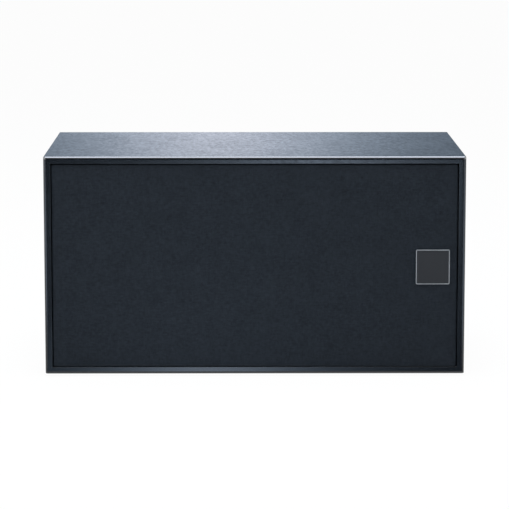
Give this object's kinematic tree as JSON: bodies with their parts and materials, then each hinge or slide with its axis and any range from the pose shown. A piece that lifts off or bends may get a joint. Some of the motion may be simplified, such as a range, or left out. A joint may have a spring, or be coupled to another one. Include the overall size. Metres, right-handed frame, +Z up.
{
  "type": "lcr speaker",
  "caption": "Closed horizontal loudspeaker in a black clad cabinet: pull-off cloth grille over cone and dome drive units, with recessed screw terminals at the back.",
  "frame": {"origin": "on the floor, at the middle of the cabinet's footprint", "axes": "+X to the right as seen from the front, the front faces -Y, +Z up"},
  "size_m": [0.5, 0.285, 0.264],
  "materials": {
    "clad_board": "satin black vinyl on fibreboard",
    "black_board": "matt black painted fibreboard",
    "raw_board": "bare fibreboard",
    "grille_cloth": "black acoustic cloth",
    "wadding": "white polyester wadding",
    "badge_metal": "satin, with a charcoal field",
    "rubber": "black rubber",
    "black_plastic": "fine grained black plastic",
    "white_plastic": "natural nylon",
    "cast_basket": "black coated casting",
    "cone_paper": "coated black paper",
    "spider_cloth": "resin-set cotton",
    "copper": "enamelled copper wire",
    "plated_steel": "zinc plated",
    "black_steel": "black oxide",
    "ferrite": "ground ferrite",
    "dome_cloth": "coated silk",
    "plated_brass": "gold plated",
    "red_plastic": "glossy red",
    "black_gloss": "glossy black",
    "board_resin": "green circuit board",
    "capacitor_film": "yellow film wrap",
    "resistor_ceramic": "white cement",
    "red_insulation": "red insulation",
    "black_insulation": "black insulation"
  },
  "bodies": {
    "cabinet": {"cabinet_wrap": "clad_board", "front_baffle": "black_board", "rear_panel": "clad_board", "window_brace": "raw_board", "rubber_feet": "rubber", "damping_left": "wadding", "damping_right": "wadding", "peg_sockets": "rubber", "woofer_gaskets": "rubber", "driver_screws": "black_steel", "driver_tabs": "plated_brass", "tweeter_faceplate": "black_plastic", "tweeter_dome": "dome_cloth", "tweeter_voice_coil": "copper", "tweeter_top_plate": "plated_steel", "tweeter_magnet": "ferrite", "tweeter_yoke": "plated_steel", "terminal_cup": "black_plastic", "terminal_cup_screws": "black_steel", "post_nuts": "plated_brass", "crossover_board": "board_resin", "board_standoffs": "white_plastic", "board_screws": "plated_steel", "inductors": "copper", "capacitors": "capacitor_film", "resistors": "resistor_ceramic", "board_connectors": "black_plastic", "red_leads": "red_insulation", "black_leads": "black_insulation", "woofer_left_basket": "cast_basket", "woofer_left_surround": "rubber", "woofer_left_spider": "spider_cloth", "woofer_left_top_plate": "plated_steel", "woofer_left_magnet": "ferrite", "woofer_left_yoke": "plated_steel", "woofer_right_basket": "cast_basket", "woofer_right_surround": "rubber", "woofer_right_spider": "spider_cloth", "woofer_right_top_plate": "plated_steel", "woofer_right_magnet": "ferrite", "woofer_right_yoke": "plated_steel", "red_post_stud": "plated_brass", "red_post_base": "red_plastic", "black_post_stud": "plated_brass", "black_post_base": "black_gloss"},
    "grille": {"grille_frame": "black_board", "grille_cloth": "grille_cloth", "grille_pegs": "black_plastic", "badge_plate": "badge_metal"},
    "left_diaphragm": {"woofer_left_cone": "cone_paper", "woofer_left_dust_cap": "cone_paper", "woofer_left_voice_coil": "copper"},
    "right_diaphragm": {"woofer_right_cone": "cone_paper", "woofer_right_dust_cap": "cone_paper", "woofer_right_voice_coil": "copper"},
    "red_washer": {"red_post_washer": "plated_brass"},
    "red_cap": {"red_post_cap": "red_plastic"},
    "black_washer": {"black_post_washer": "plated_brass"},
    "black_cap": {"black_post_cap": "black_gloss"}
  },
  "joints": [
    {"name": "grille_pull", "type": "slide", "parent": "cabinet", "child": "grille", "axis": [0, -1, 0], "range_m": [0, 0.06]},
    {"name": "left_cone_travel", "type": "slide", "parent": "cabinet", "child": "left_diaphragm", "axis": [0, -1, 0], "range_m": [-0.004, 0.004], "stiffness_N_per_m": 1200, "deforming": ["woofer_left_surround", "woofer_left_spider"]},
    {"name": "right_cone_travel", "type": "slide", "parent": "cabinet", "child": "right_diaphragm", "axis": [0, -1, 0], "range_m": [-0.004, 0.004], "stiffness_N_per_m": 1200, "deforming": ["woofer_right_surround", "woofer_right_spider"]},
    {"name": "red_cap_lift", "type": "slide", "parent": "cabinet", "child": "red_washer", "axis": [0, 1, 0], "range_m": [0, 0.004]},
    {"name": "red_cap_turn", "type": "hinge", "parent": "red_washer", "child": "red_cap", "pos_m": [-0.019, 0.124, 0.0775], "axis": [0, 1, 0], "range_deg": [0, 1440]},
    {"name": "black_cap_lift", "type": "slide", "parent": "cabinet", "child": "black_washer", "axis": [0, 1, 0], "range_m": [0, 0.004]},
    {"name": "black_cap_turn", "type": "hinge", "parent": "black_washer", "child": "black_cap", "pos_m": [0.019, 0.124, 0.0775], "axis": [0, 1, 0], "range_deg": [0, 1440]}
  ],
  "couplings": [
    {"joint": "red_cap_turn", "follows": "red_cap_lift", "rad_per_m": 6283.2},
    {"joint": "black_cap_turn", "follows": "black_cap_lift", "rad_per_m": 6283.2}
  ]
}
